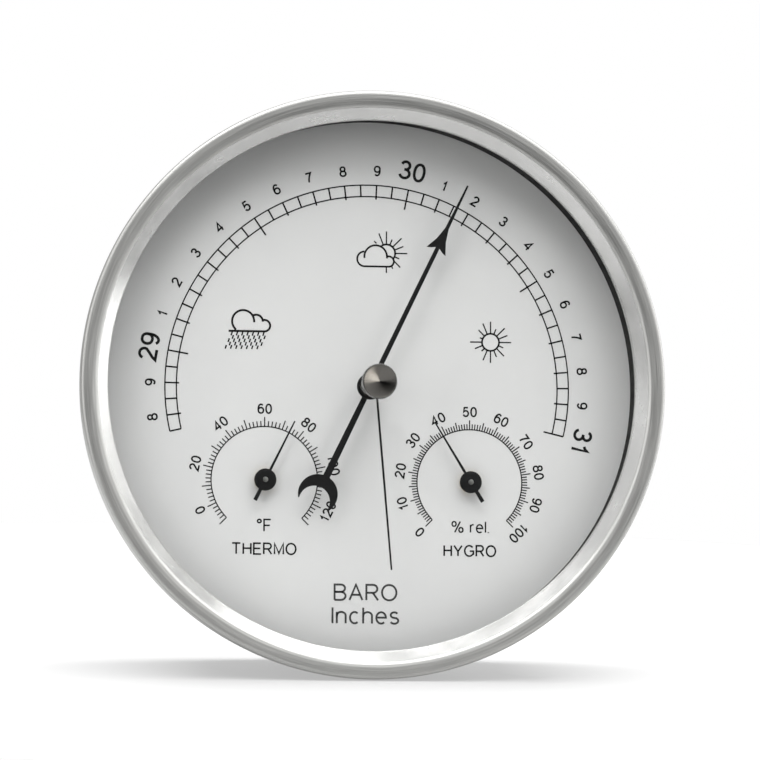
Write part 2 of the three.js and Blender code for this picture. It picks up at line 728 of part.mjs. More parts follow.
function buildCoilInstrument(name, { side, angle, reach }, coilFinish) {
  const group = new THREE.Group();
  group.position.set(side * SUB_X, SUB_Y, 0);
  instrument.add(group);
  const bush = [
    tube(0.9, 1.7, DIAL_Z - 1.9, DIAL_Z + 0.5),
    tube(0.9, 2.4, DIAL_Z + GAP, DIAL_Z + GAP + 0.4),
  ];
  add(`${name}_bush`, joined(bush), "brass", group);
  const bracket = add(`${name}_bracket`, coilBracket(), "steel", group);
  if (side > 0) bracket.rotation.z = Math.PI;
  const coil = spiral({
    innerR: 1.35,
    outerR: 7.7,
    turns: 4,
    endDegrees: side > 0 ? 0 : 180,
    thickness: 0.4,
    lowZ: 24.2,
    height: 4,
    perTurn: 14,
  });
  add(`${name}_coil`, coil, coilFinish, group);
  const arbor = turned(
    [
      [0, 21],
      [0.6, 21],
      [0.6, 22.5],
      [1, 22.5],
      [1, 23.1],
      [0.6, 23.1],
      [0.6, SUB_HAND_Z + 0.7],
      [0, SUB_HAND_Z + 0.7],
    ],
    12,
  );
  add(`${name}_arbor`, arbor, "steel", group);
  add(`${name}_hand`, smallHand(reach), "blackMetal", group).rotation.z = radians(angle);
}

// ---------------------------------------------------------------- the whole instrument

buildHousing();
buildSetHand();
buildMovement();
buildCoilInstrument("thermo", THERMO, "copper");
buildCoilInstrument("hygro", HYGRO, "strip");

const barometer = new THREE.Group();
instrument.rotation.x = Math.PI / 2;
barometer.add(instrument);

export default barometer;
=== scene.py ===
"""Looks of the round wall barometer, around its CAD frame.

Shapes are made in the instrument's own frame, in millimetres: x to the right, y up the dial and z out of
the wall. to_row() puts a point into the row frame, in metres, where the dial faces -Y and +Z is up.
"""

import math

import bmesh
import bpy
from mathutils import Matrix, Vector


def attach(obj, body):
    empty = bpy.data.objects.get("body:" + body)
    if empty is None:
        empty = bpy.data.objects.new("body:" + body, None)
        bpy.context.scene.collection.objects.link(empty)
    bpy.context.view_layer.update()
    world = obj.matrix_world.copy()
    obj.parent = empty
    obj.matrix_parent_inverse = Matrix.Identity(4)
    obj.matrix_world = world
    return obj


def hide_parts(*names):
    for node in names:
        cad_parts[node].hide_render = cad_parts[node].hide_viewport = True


MM = 0.001
RIM = 256  # facets of the bezel and the case
ROUND = 192  # facets of the other large round pieces
FINE = 48  # facets of the small ones
HOLE = 40  # facets of the back cover's round holes

# ------------------------------------------------------------------ driving dimensions, as in the CAD

BEZEL_R = 66
BEZEL_WIDEST_Z = 41.6
MOUTH_R = 59.6
CHAMFER_R = 62.1  # where the chamfer meets the roll
CHAMFER_Z = 40.6  # the chamfer's faces lie in front of this
SPACER_R = 60.2
SEAT_R = 62.5
CASE_R = 61
CASE_REAR_Z = 1.6
CASE_WALL = 0.8
FLANGE_Z = 29.8
COVER_R = 51.7
COVER_T = 2
DIAL_Z = 31.5
DIAL_T = 0.6
GLASS_Z = 38.3
GLASS_T = 1.5
POINTER_Z = 35.3
POINTER_T = 0.4
POINTER_ANGLE = 64.25
SET_HAND_Z = 36.6
SET_HAND_ANGLE = -84.9
NEEDLE_T = 0.3  # of the set hand and the two small hands
KNOB_TOP_Z = 51.2
KNOB_R = 4
TEETH = 56  # the knob's knurling
FACETS_PER_TOOTH = 6
TOOTH_DEPTH = 0.2
SUB_X = 23.36
SUB_Y = -21.15
SUB_HAND_Z = 33.2
ADJUSTER_X = -23
BOSS_PITCH_R = 24
COVER_SCREW_R = 54.4

# Screws: head radius, the head's seat and outer face along z, shank radius and the tip's z.
COVER_SCREW = (1.7, 1.3, 0.3, 0.8, 4.5)
MOVEMENT_SCREW = (2.5, 0.9, 0.2, 0.9, 8.4)
ADJUSTING_SCREW = (1.7, 6, 3.4, 1.55, 7.4)

INK_Z = DIAL_Z + 0.005
INK_TOP = DIAL_Z + 0.03
LINE = 0.3  # width of the pressure scale's arcs and the suns' rays
SMALL_LINE = 0.26  # width of the small scales' lines
LETTER_GAP = 0.08  # clear space between letters, as a share of their height
FIGURE_STRETCH = 1.13  # widens the scales' figures


def to_row(x, y, z):
    return (x * MM, -z * MM, y * MM)


def polar(radius, degrees, centre=(0, 0)):
    angle = math.radians(degrees)
    return (centre[0] + radius * math.cos(angle), centre[1] + radius * math.sin(angle))


def arc(centre, radii, start, end, steps=16, power=2):
    """Points along an ellipse's arc; a power above 2 makes it squarer."""
    points = []
    for i in range(steps + 1):
        angle = math.radians(start + (end - start) * i / steps)
        c, s = math.cos(angle), math.sin(angle)
        x = math.copysign(abs(c) ** (2 / power), c)
        y = math.copysign(abs(s) ** (2 / power), s)
        points.append((centre[0] + radii[0] * x, centre[1] + radii[1] * y))
    return points


# ------------------------------------------------------------------ materials


class Nodes:
    """Short ways to add and wire the nodes of one tree."""

    def __init__(self, tree):
        self.tree = tree

    def node(self, kind, **settings):
        made = self.tree.nodes.new("ShaderNode" + kind)
        for key, value in settings.items():
            setattr(made, key, value)
        return made

    def wire(self, source, target):
        self.tree.links.new(source, target)

    def math(self, operation, *values):
        """One operation on numbers or on other nodes' outputs."""
        made = self.node("Math", operation=operation)
        for socket, value in zip(made.inputs, values):
            if isinstance(value, (int, float)):
                socket.default_value = value
            else:
                self.wire(value, socket)
        return made.outputs[0]

    def ranged(self, value, low, high, start=0.25, end=0.75, **settings):
        """Runs from low to high while value goes from start to end."""
        made = self.node("MapRange", **settings)
        self.wire(value, made.inputs["Value"])
        for key, number in (("From Min", start), ("From Max", end), ("To Min", low), ("To Max", high)):
            made.inputs[key].default_value = number
        return made.outputs[0]


class Finish(Nodes):
    """A material under construction, on a Principled shader."""

    def __init__(self, name, **inputs):
        self.material = bpy.data.materials.new(name)
        self.material.use_nodes = True
        super().__init__(self.material.node_tree)
        self.shader = self.tree.nodes["Principled BSDF"]
        self.output = self.tree.nodes["Material Output"]
        for key, value in inputs.items():
            self.shader.inputs[key.replace("_", " ")].default_value = value

    def object_point(self):
        return self.node("TexCoord").outputs["Object"]

    def scaled(self, x, y, z):
        """The object's own coordinates, in cells per metre."""
        made = self.node("VectorMath", operation="MULTIPLY")
        self.wire(self.object_point(), made.inputs[0])
        made.inputs[1].default_value = (x, y, z)
        return made.outputs[0]

    def ring_point(self, across, along, centre=(0, 0)):
        """Coordinates that change fast away from an axis of the dial and slowly around it.

        across is in cells per metre, and along is in cells round the ring over two pi."""
        split = self.node("SeparateXYZ")
        self.wire(self.object_point(), split.inputs[0])
        x = self.math("SUBTRACT", split.outputs[0], centre[0] * MM)
        y = self.math("SUBTRACT", split.outputs[2], centre[1] * MM)
        squares = self.math("ADD", self.math("MULTIPLY", x, x), self.math("MULTIPLY", y, y))
        radius = self.math("MAXIMUM", self.math("SQRT", squares), 1e-5)
        out = self.math("MULTIPLY", self.math("ADD", radius, split.outputs[1]), across)
        joined = self.node("CombineXYZ")
        self.wire(self.math("MULTIPLY", self.math("DIVIDE", x, radius), along), joined.inputs[0])
        self.wire(self.math("MULTIPLY", self.math("DIVIDE", y, radius), along), joined.inputs[1])
        self.wire(out, joined.inputs[2])
        return joined.outputs[0]

    def noise(self, point, detail=4):
        made = self.node("TexNoise")
        for key, value in (("Scale", 1), ("Detail", detail), ("Roughness", 0.6)):
            made.inputs[key].default_value = value
        self.wire(point, made.inputs["Vector"])
        return made.outputs[0]

    def even_noise(self, cells, detail=3):
        """Noise of the same size in every direction."""
        return self.noise(self.scaled(cells, cells, cells), detail)

    def mixed(self, fine, coarse, share):
        """The fine noise by its share and the coarse one by the rest."""
        return self.math("ADD", self.math("MULTIPLY", fine, share), self.math("MULTIPLY", coarse, 1 - share))

    def tinted(self, value, dark, light):
        made = self.node("ValToRGB")
        for end, place, colour in zip(made.color_ramp.elements, (0.3, 0.7), (dark, light)):
            end.position = place
            end.color = (*colour, 1)
        self.wire(value, made.inputs[0])
        self.wire(made.outputs[0], self.shader.inputs["Base Color"])

    def rough(self, value, low, high):
        self.wire(self.ranged(value, low, high), self.shader.inputs["Roughness"])

    def bumpy(self, height, distance):
        made = self.node("Bump")
        made.inputs["Strength"].default_value = 1
        made.inputs["Distance"].default_value = distance
        self.wire(height, made.inputs["Height"])
        self.wire(made.outputs[0], self.shader.inputs["Normal"])


def turned_metal(name, dark, light, rough, across=5200, depth=2.5e-6, centre=(0, 0)):
    """Metal with fine tool marks round the dial's axis, or round another axis parallel to it."""
    made = Finish(name, Metallic=1.0)
    marks = made.noise(made.ring_point(across, 5, centre), detail=5)
    made.tinted(marks, dark, light)
    made.rough(marks, *rough)
    made.bumpy(marks, depth)
    return made.material


def plain_metal(name, dark, light, rough):
    """Rolled or stamped metal with a faint grain in one direction and cloudy colour."""
    made = Finish(name, Metallic=1.0)
    grain = made.noise(made.scaled(900, 900, 9000))
    made.tinted(made.mixed(grain, made.even_noise(160), 0.4), dark, light)
    made.rough(grain, *rough)
    made.bumpy(grain, 2e-6)
    return made.material


def moulded(name, dark, light, rough, shine=0.5):
    """Matt moulded plastic or rubber with a fine spark-eroded grain."""
    made = Finish(name, Specular_IOR_Level=shine)
    grain = made.even_noise(4200)
    made.tinted(made.even_noise(90), dark, light)
    made.rough(grain, *rough)
    made.bumpy(grain, 1.2e-5)
    return made.material


def satin_dial():
    """Silver-painted aluminium: nearly flat, with a fine pearl grain."""
    made = Finish("dial_silver", Metallic=0.05, IOR=1.45)
    grain = made.even_noise(9000, detail=2)
    made.tinted(made.mixed(grain, made.even_noise(45), 0.45), (0.7, 0.7, 0.7), (0.75, 0.75, 0.745))
    made.rough(grain, 0.42, 0.52)
    made.bumpy(grain, 1.5e-6)
    return made.material


def print_ink(name, dark, light):
    """Screen-printed ink, a little uneven in tone."""
    made = Finish(name, Specular_IOR_Level=0.15)
    patches = made.even_noise(2500)
    made.tinted(patches, dark, light)
    made.rough(patches, 0.4, 0.6)
    return made.material


def hand_paint():
    """Satin black paint on a stamped hand."""
    made = Finish("hand_black", Specular_IOR_Level=0.2)
    peel = made.even_noise(2600)
    made.tinted(peel, (0.005, 0.005, 0.005), (0.009, 0.009, 0.0095))
    made.rough(peel, 0.34, 0.48)
    made.bumpy(peel, 4e-6)
    return made.material


def clear_pane():
    """Flat glass: clear to look through and to light, mirroring more at a glance, with faint wipe marks.

    The share that mirrors follows the angle alone, alike on both faces, because the rays aren't bent."""
    made = Finish("clear_glass")
    through = made.node("BsdfTransparent")
    through.inputs[0].default_value = (0.994, 0.996, 0.994, 1)
    gloss = made.node("BsdfGlossy")
    smears = made.noise(made.scaled(60, 60, 260))
    made.wire(made.ranged(smears, 0.0, 0.05), gloss.inputs["Roughness"])
    facing = made.node("LayerWeight").outputs["Facing"]
    head_on = 0.04
    glance = made.math("MULTIPLY", made.math("POWER", facing, 5), 1 - head_on)
    mixed = made.node("MixShader")
    made.wire(made.math("ADD", glance, head_on), mixed.inputs[0])
    made.wire(through.outputs[0], mixed.inputs[1])
    made.wire(gloss.outputs[0], mixed.inputs[2])
    made.wire(mixed.outputs[0], made.output.inputs["Surface"])
    made.tree.nodes.remove(made.shader)
    return made.material


def arbor_steel(name, centre):
    """The turned end of a small hand's arbor."""
    return turned_metal(name, (0.34, 0.35, 0.33), (0.5, 0.5, 0.48), (0.25, 0.4), 9000, centre=centre)


def make_materials():
    """The finishes shared by pieces: name, dark and light colour, and range of roughness."""
    return {
        # The bezel and its chamfer are one steel: the chamfer's lighter colour is a painted highlight of the
        # lights it mirrors, and only its lower roughness is a real, finer polish.
        "bezel": turned_metal("brushed_steel", (0.37, 0.37, 0.36), (0.5, 0.5, 0.485), (0.4, 0.52)),
        "chamfer": turned_metal("chamfer_steel_painted_highlight", (0.57, 0.57, 0.56), (0.68, 0.68, 0.67), (0.2, 0.3), 7000),
        "knob": turned_metal(
            "dark_chrome", (0.085, 0.082, 0.076), (0.115, 0.11, 0.102), (0.12, 0.2), 9000, depth=2e-6
        ),
        "case": turned_metal("case_steel", (0.46, 0.46, 0.45), (0.62, 0.62, 0.61), (0.26, 0.42), 3800),
        "cover": moulded("black_plastic", (0.016, 0.016, 0.016), (0.024, 0.024, 0.025), (0.42, 0.62)),
        "spacer": moulded("spacer_black", (0.007,) * 3, (0.012, 0.012, 0.011), (0.6, 0.75), shine=0.1),
        "rubber": moulded("gasket_rubber", (0.022, 0.022, 0.022), (0.032, 0.032, 0.032), (0.7, 0.9)),
        "dial": satin_dial(),
        "ink": print_ink("print_black", (0.004, 0.004, 0.004), (0.009, 0.009, 0.009)),
        "grey_ink": print_ink("print_grey", (0.05, 0.05, 0.05), (0.065, 0.065, 0.065)),
        "hand": hand_paint(),
        "glass": clear_pane(),
        "zinc": plain_metal("zinc_steel", (0.46, 0.47, 0.48), (0.62, 0.63, 0.64), (0.22, 0.38)),
        "brass": plain_metal("movement_brass", (0.58, 0.42, 0.18), (0.76, 0.58, 0.28), (0.22, 0.4)),
        "nickel": turned_metal("nickel_silver", (0.62, 0.6, 0.55), (0.74, 0.72, 0.67), (0.18, 0.3), 4000),
        "blued": plain_metal("blued_steel", (0.035, 0.055, 0.13), (0.07, 0.09, 0.18), (0.22, 0.36)),
        "bimetal": plain_metal("bimetal", (0.5, 0.3, 0.17), (0.66, 0.42, 0.26), (0.25, 0.4)),
        "strip": plain_metal("humidity_strip", (0.6, 0.56, 0.46), (0.72, 0.68, 0.58), (0.4, 0.6)),
    }


# ------------------------------------------------------------------ pieces


def closed_mesh(name, points, faces, weld=False):
    """A mesh from points in millimetres, with its faces turned outwards and, to weld, its doubles joined."""
    mesh = bpy.data.meshes.new(name)
    mesh.from_pydata([to_row(*p) for p in points], [], faces)
    work = bmesh.new()
    work.from_mesh(mesh)
    if weld:
        bmesh.ops.remove_doubles(work, verts=work.verts, dist=1e-7)
    bmesh.ops.recalc_face_normals(work, faces=work.faces)
    work.to_mesh(mesh)
    work.free()
    return mesh


def smoothed(mesh, crease=35):
    """Smooth shading, with the edges that bend more than the crease, in degrees, kept sharp."""
    mesh.shade_smooth()
    mesh.set_sharp_from_angle(angle=math.radians(crease))


def placed(name, points, faces, material, body, slot, stands_for=(), crease=35):
    """A piece that rides its body and stands for its CAD nodes."""
    mesh = closed_mesh(name, points, faces, weld=True)
    mesh.materials.append(material)
    smoothed(mesh, crease)
    obj = bpy.data.objects.new(name, mesh)
    bpy.context.scene.collection.objects.link(obj)
    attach(obj, body)
    if stands_for:
        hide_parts(*stands_for)
    return obj


def bevelled(obj, width):
    """Rounds the sharp edges of a piece. width is in millimetres."""
    made = obj.modifiers.new("edges", "BEVEL")
    made.width = width * MM
    made.segments = 2
    made.limit_method = "ANGLE"
    made.angle_limit = math.radians(40)
    made.harden_normals = True


def softened(outline, radius, steps=4):
    """The outline of a turned piece with its corners rounded, save for points on the axis."""
    on_axis = outline[0][0] == 0
    made = []
    count = len(outline)
    for i, corner in enumerate(outline):
        if on_axis and i in (0, count - 1):
            made.append(corner)
            continue
        before, after = outline[i - 1], outline[(i + 1) % count]
        ends = []
        for other in (before, after):
            length = math.dist(corner, other)
            share = min(radius / length, 0.45) if length else 0
            ends.append([c + (o - c) * share for c, o in zip(corner, other)])
        for k in range(steps + 1):
            t = k / steps
            weights = ((1 - t) ** 2, 2 * t * (1 - t), t * t)
            made.append(
                tuple(
                    weights[0] * a + weights[1] * c + weights[2] * b
                    for a, c, b in zip(ends[0], corner, ends[1])
                )
            )
    return made


def firmed(outline, reach=0.12):
    """Adds points near the ends of long straight runs, so that smooth shading keeps them flat."""
    made = []
    for i, start in enumerate(outline):
        made.append(start)
        end = outline[(i + 1) % len(outline)]
        closes = i == len(outline) - 1
        length = math.dist(start, end)
        if length < 5 * reach or closes and start[0] == 0:
            continue
        for share in (reach / length, 1 - reach / length):
            made.append(tuple(a + (b - a) * share for a, b in zip(start, end)))
    return made


def turned(outline, facets=ROUND, centre=(0, 0), ripple=None):
    """Points and faces of a solid turned from (radius, z) points about +z through the centre.

    ripple(radius, z, k) gives the radius at facet k, where the surface isn't plain."""
    outline = firmed(outline)
    points, rings = [], []
    for r, z in outline:
        if r == 0:
            rings.append([len(points)])
            points.append((*centre, z))
            continue
        rings.append(range(len(points), len(points) + facets))
        for k in range(facets):
            reach = ripple(r, z, k) if ripple else r
            points.append((*polar(reach, 360 * k / facets, centre), z))
    pairs = list(zip(rings, rings[1:]))
    if outline[0][0] != 0:
        pairs.append((rings[-1], rings[0]))
    faces = []
    for low, high in pairs:
        for k in range(facets):
            after = (k + 1) % facets
            corners = (
                low[k % len(low)],
                low[after % len(low)],
                high[after % len(high)],
                high[k % len(high)],
            )
            face = list(dict.fromkeys(corners))
            if len(face) > 2:
                faces.append(face)
    return points, faces


def ring_outline(inner, outer, low, high):
    return [(inner, low), (outer, low), (outer, high), (inner, high)]


def disc_outline(outer, low, high):
    return [(0, low), (outer, low), (outer, high), (0, high)]


def extruded(outline, low, high):
    """Points and faces of a flat piece from its outline."""
    count = len(outline)
    points = [(x, y, z) for z in (low, high) for x, y in outline]
    faces = [list(range(count - 1, -1, -1)), list(range(count, 2 * count))]
    faces += [[i, (i + 1) % count, (i + 1) % count + count, i + count] for i in range(count)]
    return points, faces


def moved(points, degrees, centre=(0, 0)):
    """Points turned about +z and then shifted."""
    c, s = math.cos(math.radians(degrees)), math.sin(math.radians(degrees))
    return [(centre[0] + c * x - s * y, centre[1] + s * x + c * y, z) for x, y, z in points]


def together(*parts):
    """Several (points, faces) as one."""
    points, faces = [], []
    for more_points, more_faces in parts:
        faces += [[i + len(points) for i in face] for face in more_faces]
        points += more_points
    return points, faces


# ------------------------------------------------------------------ housing


def bezel_outline():
    """A conical chamfer, a flat-topped roll and a skirt, with the rear edge crimped under the case."""
    mouth = [(MOUTH_R, 40.1), (MOUTH_R, 40.5), (MOUTH_R + 0.07, 40.7), (MOUTH_R + 0.25, 40.92)]
    edge = [(62.05, 43.2), (62.15, 43.3)]
    roll = [(62.25, 43.42), (62.5, 43.62), (62.8, 43.76), (63.4, 43.9), (64.2, 43.97), (65.1, 43.94)]
    shoulder = [(65.6, 43.85), (65.83, 43.69), (65.95, 43.42), (65.99, 43), (BEZEL_R, BEZEL_WIDEST_Z)]
    skirt = [(65.9, 39.5), (65.55, 35), (65.2, 31), (64.9, 29.6), (64.6, 29), (64.1, 28.65), (63.5, 28.6)]
    inside = [(61.4, 28.6), (61.4, 29.5), (63.6, 29.5), (64.2, 31), (64.9, 41.6), (63.4, 43), (60.6, 40.1)]
    return mouth + edge + roll + shoulder + skirt + inside


def build_bezel(materials):
    """The ring, with its chamfer smoother than the rest and painted a lighter steel, a painted highlight
    where the chamfer mirrors the lights.
    """
    shape = turned(bezel_outline(), RIM)
    ring = placed("bezel_ring", *shape, materials["bezel"], "housing", "brushed_steel", ["bezel"])
    ring.data.materials.append(materials["chamfer"])
    # The chamfer's faces get the steel with the painted highlight.
    for face in ring.data.polygons:
        middle = face.center / MM
        on_chamfer = math.hypot(middle.x, middle.z) < CHAMFER_R and -middle.y > CHAMFER_Z
        face.material_index = 1 if on_chamfer else 0


def build_case(materials):
    """The drawn drum: a rear lip, a round corner, and a flange whose edge stands up round the glass."""
    corner = (56, 6.6)
    corner_r = 5
    lip = COVER_R + 0.3
    edge, edge_top = (62.8, 63.6), 40.6
    shelf = FLANGE_Z + CASE_WALL
    outer = arc(corner, (corner_r,) * 2, -90, 0, 14)
    inner = arc(corner, (corner_r - CASE_WALL,) * 2, 0, -90, 14)
    flange = [
        (CASE_R, FLANGE_Z - 0.6),
        (CASE_R + 0.2, FLANGE_Z - 0.15),
        (CASE_R + 0.7, FLANGE_Z),
        (edge[1], FLANGE_Z),
        (edge[1], edge_top),
        (edge[0], edge_top),
        (edge[0], shelf),
        (SPACER_R, shelf),
    ]
    outline = [(lip, CASE_REAR_Z), *outer, *flange, *inner, (lip, CASE_REAR_Z + CASE_WALL)]
    shape = turned(outline, RIM)
    placed("case_drum", *shape, materials["case"], "housing", "brushed_steel", ["case_shell"])


def boss_centres():
    """Where the movement's four screws go through the cover."""
    return [polar(BOSS_PITCH_R, 45 + 90 * i) for i in range(4)]


def cover_cutters():
    """The keyhole, seven air slots, the adjuster's hole and four screw holes with their recesses."""
    below, above = -1, COVER_T + 1
    keyway = [(-2.3, 37), (2.3, 37), (2.3, 43.2), *arc((0, 43.2), (2.3, 2.3), 0, 180, 16), (-2.3, 43.2)]
    flat = [arc((0, 36.9), (4.5, 4.5), 0, 337.5, 31), keyway]
    for i in range(7):
        x = (i - 3) * 4
        flat.append(arc((x, -34.9), (0.9, 0.9), 0, 180, 10) + arc((x, -43.1), (0.9, 0.9), 180, 360, 10))
    cutters = [extruded(outline, below, above) for outline in flat]
    cutters.append(turned(disc_outline(3.3, below, above), HOLE, (ADJUSTER_X, 0)))
    stepped = [(0, below), (2.9, below), (2.9, 1.2), (1.3, 1.2), (1.3, above), (0, above)]
    return cutters + [turned(stepped, HOLE, centre) for centre in boss_centres()]


def build_cover(materials):
    """The moulded back with its holes, and the keyhole's pocket and the screw bosses behind it."""
    rim = [
        (0, 0),
        (46.9, 0),
        (47.2, 0.35),
        (48.4, 0.35),
        (48.7, 0),
        (COVER_R - 0.5, 0),
        (COVER_R - 0.15, 0.15),
        (COVER_R, 0.5),
        (COVER_R, 2.7),
        (57, 2.7),
        (57, 4.7),
        (49.7, 4.7),
        (49.7, COVER_T),
        (0, COVER_T),
    ]
    black = materials["cover"]
    cover = placed("back_cover_moulding", *turned(rim), black, "housing", "black_plastic", ["back_cover"])
    cut_by(cover, cover_cutters())
    boss = softened(ring_outline(1.3, 3.2, COVER_T - 0.1, 6), 0.2)
    inside = [keyhole_pocket()] + [turned(boss, HOLE, centre) for centre in boss_centres()]
    placed("back_cover_bosses", *together(*inside), black, "housing", "black_plastic")


def keyhole_pocket():
    """The closed box behind the keyhole, as four walls and a roof."""
    outer = [(-6.5, 32), (6.5, 32), (6.5, 48), (-6.5, 48)]
    inner = [(-5, 33.5), (5, 33.5), (5, 46.5), (-5, 46.5)]
    foot, roof, ceiling = COVER_T - 0.1, 9, 7.5
    levels = ((outer, foot), (outer, roof), (inner, ceiling), (inner, foot))
    points = [(x, y, z) for loop, z in levels for x, y in loop]
    faces = [[4, 5, 6, 7], [11, 10, 9, 8]]
    for low, high in ((0, 4), (8, 12), (12, 0)):
        faces += [[low + i, low + (i + 1) % 4, high + (i + 1) % 4, high + i] for i in range(4)]
    return points, faces


def cut_by(obj, cutters):
    """Cuts shapes out of a piece and applies the cuts."""
    tool = bpy.data.objects.new("cutter", closed_mesh("cutter", *together(*cutters)))
    bpy.context.scene.collection.objects.link(tool)
    cut = obj.modifiers.new("cut", "BOOLEAN")
    cut.operation = "DIFFERENCE"
    cut.solver = "EXACT"
    cut.use_self = True
    cut.object = tool
    bpy.context.view_layer.update()
    result = bpy.data.meshes.new_from_object(obj.evaluated_get(bpy.context.evaluated_depsgraph_get()))
    obj.modifiers.remove(cut)
    obj.data = result
    smoothed(result)
    bpy.data.objects.remove(tool)


def slotted_screw(name, node, centre, sizes, turn, material, body="housing", slot="zinc_steel"):
    """A screw along z with a soft-edged head. turn is its slot's direction, in degrees."""
    head_r, head_z, out_z, shank_r, tip_z = sizes
    outward = 1 if out_z > head_z else -1
    head_t = abs(out_z - head_z)
    edge = min(0.25, head_t * 0.4)
    outline = [
        (0, out_z),
        (head_r - 2 * edge, out_z),
        (head_r - 0.6 * edge, out_z - outward * 0.25 * edge),
        (head_r, out_z - outward * edge),
        (head_r, head_z),
        (shank_r, head_z),
        (shank_r, tip_z + outward * 0.3),
        (shank_r - 0.25, tip_z),
        (0, tip_z),
    ]
    screw = placed(name, *turned(outline, FINE, centre), material, body, slot, [node])
    end, side = head_r + 1, head_r * 0.13
    depth = sorted((out_z - outward * head_t * 0.45, out_z + outward))
    points, faces = extruded([(-end, -side), (end, -side), (end, side), (-end, side)], *depth)
    cut_by(screw, [(moved(points, turn, centre), faces)])


def build_screws(materials):
    """Three screws hold the cover and four the movement; the adjuster turns behind its own hole."""
    zinc = materials["zinc"]
    for i in range(3):
        names = (f"cover_fixing_{i + 1}", f"cover_screw_{i + 1}")
        slotted_screw(*names, polar(COVER_SCREW_R, 30 + 120 * i), COVER_SCREW, 35 + 50 * i, zinc)
    for i, centre in enumerate(boss_centres()):
        names = (f"movement_fixing_{i + 1}", f"movement_screw_{i + 1}")
        slotted_screw(*names, centre, MOVEMENT_SCREW, 20 + 65 * i, zinc)
    names = ("adjusting_screw_turned", "adjusting_screw")
    brass = materials["brass"]
    slotted_screw(*names, (ADJUSTER_X, 0), ADJUSTING_SCREW, 30, brass, "adjuster", "movement_brass")


def build_glazing(materials):
    """The pane, its gasket in front and the spacer ring behind."""
    pane = softened(ring_outline(2, SEAT_R, GLASS_Z, GLASS_Z + GLASS_T), 0.15, 2)
    placed("glass_pane", *turned(pane), materials["glass"], "housing", "clear_glass", ["glass"])
    gasket = softened(ring_outline(61.4, SEAT_R, 40.1, 40.8), 0.2)
    placed("gasket_ring", *turned(gasket), materials["rubber"], "housing", "gasket_rubber", ["glass_gasket"])
    spacer = softened(ring_outline(SPACER_R, SEAT_R, 31.8, 38.0), 0.15)
    placed("spacer_wall", *turned(spacer), materials["spacer"], "housing", "black_plastic", ["spacer_ring"])


def build_dial(materials):
    """The plate with a hole for each of its three arbors."""
    plate = turned(softened(disc_outline(SEAT_R, DIAL_Z - DIAL_T, DIAL_Z), 0.1, 2))
    dial = placed("dial_disc", *plate, materials["dial"], "housing", "dial_aluminium", ["dial_plate"])
    low, high = DIAL_Z - 2, DIAL_Z + 1
    holes = [turned(disc_outline(1.5, low, high), FINE)]
    holes += [turned(disc_outline(2, low, high), FINE, (x, SUB_Y)) for x in (-SUB_X, SUB_X)]
    cut_by(dial, holes)


# ------------------------------------------------------------------ hands and knob


def pointer_outline():
    """The main hand along +x: a fine point, a barbed arrowhead, a tapered shaft and a crescent."""
    upper = [(50.9, 0.2), (45, 0.31), (40, 0.42), (37, 1.15), (34.2, 2.4), (34.55, 1.4), (35.1, 0.47)]
    upper += [(0, 0.6), (-22.65, 0.8)]
    horns = -29.75
    moon = arc((-27.1, 0), (4.5, 4.5), 12, 180, 40) + arc((-28.93, 0), (3.53, 3.53), 180, 0, 32)
    half = upper + [p for p in moon if p[0] > horns]
    return half + [(x, -y) for x, y in reversed(half[:-1])]


def hand_shape(outline, low, thick, angle, hub, centre=(0, 0)):
    """A flat hand turned to its angle, on its hub."""
    points, faces = extruded(outline, low, low + thick)
    return together((moved(points, angle, centre), faces), turned(hub, FINE, centre))


def build_pointer(black):
    hub = softened(ring_outline(0.62, 3, POINTER_Z - 0.2, POINTER_Z + 0.6), 0.2)
    shape = hand_shape(pointer_outline(), POINTER_Z, POINTER_T, POINTER_ANGLE, hub)
    bevelled(placed("pointer_blade", *shape, black, "pointer", "black_hand", ["pointer"]), 0.08)


def build_set_hand(black):
    """A thin straight needle that runs beside the middle of its hub."""
    needle = [(1.6, 0.9), (20, 0.9), (41.5, 0.94), (41.6, 1)]
    needle += [(41.6, 1.26), (41.5, 1.32), (20, 1.38), (1.6, 1.38)]
    hub = softened(ring_outline(1.25, 2.4, SET_HAND_Z - 0.2, SET_HAND_Z + 0.5), 0.15)
    shape = hand_shape(needle, SET_HAND_Z, NEEDLE_T, SET_HAND_ANGLE, hub)
    bevelled(placed("set_hand_needle", *shape, black, "set_hand", "black_hand", ["set_hand"]), 0.06)


def build_small_hand(name, x, angle, reach, black):
    """A small scale's hand on its hub, and its arbor, whose end shows in the hub."""
    centre = (x, SUB_Y)
    body = f"{name}_hand"
    low, high = SUB_HAND_Z - 0.2, SUB_HAND_Z + 0.5
    needle = [(reach, -0.15), (reach, 0.15), (2, 0.3), (-5.2, 0.45), (-5.2, -0.45), (2, -0.3)]
    hub = [(0.62, low), (2.5, low), (2.5, high - 0.3), (2.3, high - 0.08), (1.9, high), (0.62, high)]
    shape = hand_shape(needle, SUB_HAND_Z, NEEDLE_T, angle, hub, centre)
    bevelled(placed(f"{name}_hand_needle", *shape, black, body, "black_hand", [f"{name}_hand"]), 0.05)
    steel = arbor_steel(f"{name}_arbor_steel", centre)
    arbor = [(0, 21), (0.6, 21), (0.6, 22.5), (1, 22.5), (1, 23.1), (0.6, 23.1)]
    arbor += [(0.6, high + 0.02), (0.5, high + 0.15), (0.3, high + 0.2), (0, high + 0.2)]
    shape = turned(arbor, FINE, centre)
    placed(f"{name}_arbor_pin", *shape, steel, body, "zinc_steel", [f"{name}_arbor"])


def knurl(r, z, k):
    """The knob's radius at its facet k: rippled on the rim, fading out towards the face."""
    rim_z = KNOB_TOP_Z - 2.2
    share = min(max((r - 3.55) / 0.2, 0), 1) if z > rim_z else 0
    half = FACETS_PER_TOOTH / 2
    return r - share * TOOTH_DEPTH * abs(k % FACETS_PER_TOOTH - half) / half


